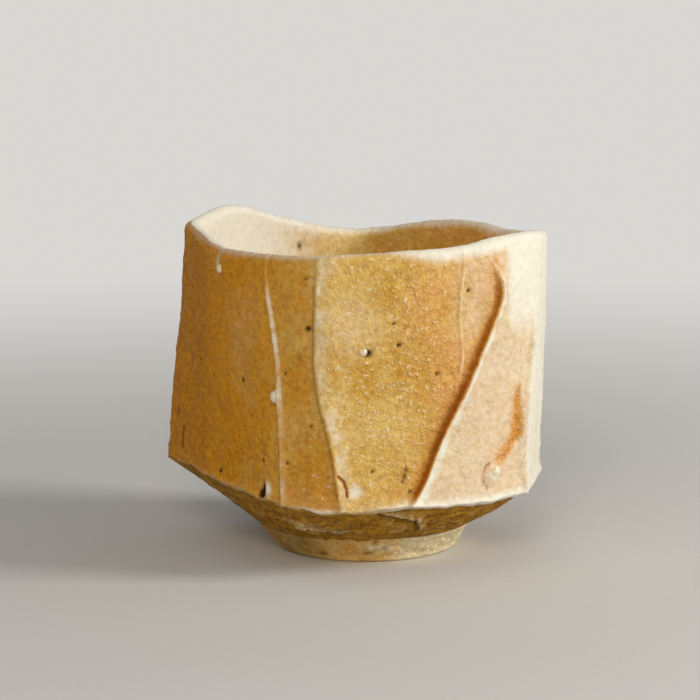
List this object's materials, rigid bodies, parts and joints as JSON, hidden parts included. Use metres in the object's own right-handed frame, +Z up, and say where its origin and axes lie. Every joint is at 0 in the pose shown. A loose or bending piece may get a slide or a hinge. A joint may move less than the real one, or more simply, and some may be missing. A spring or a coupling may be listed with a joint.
{
  "type": "sake cup",
  "caption": "Hand-formed stoneware sake cup, cut into flat faces with a knife, with a wavy rim, a sharp waist, a low foot ring and a matte yellow ash glaze.",
  "frame": {"origin": "middle of the outline's box, on the table under the foot ring", "axes": "+Z up out of the cup's mouth, -Y towards the viewer of the picture, +X to the viewer's right"},
  "size_m": [0.0652, 0.0644, 0.0565],
  "materials": {
    "bare_clay": "rough unglazed stoneware, olive brown",
    "foot_clay": "rough unglazed stoneware, paler ochre",
    "ash_glaze": "matte yellow ash glaze with a fine bumpy skin",
    "feldspar": "half-melted white feldspar grains"
  },
  "bodies": {
    "root": {"clay_bowl": "bare_clay", "foot_ring": "foot_clay", "glaze_coat": "ash_glaze", "feldspar_grain_ridge": "feldspar", "feldspar_grain_waist": "feldspar", "feldspar_grain_front": "feldspar", "feldspar_grain_left": "feldspar"}
  },
  "joints": []
}
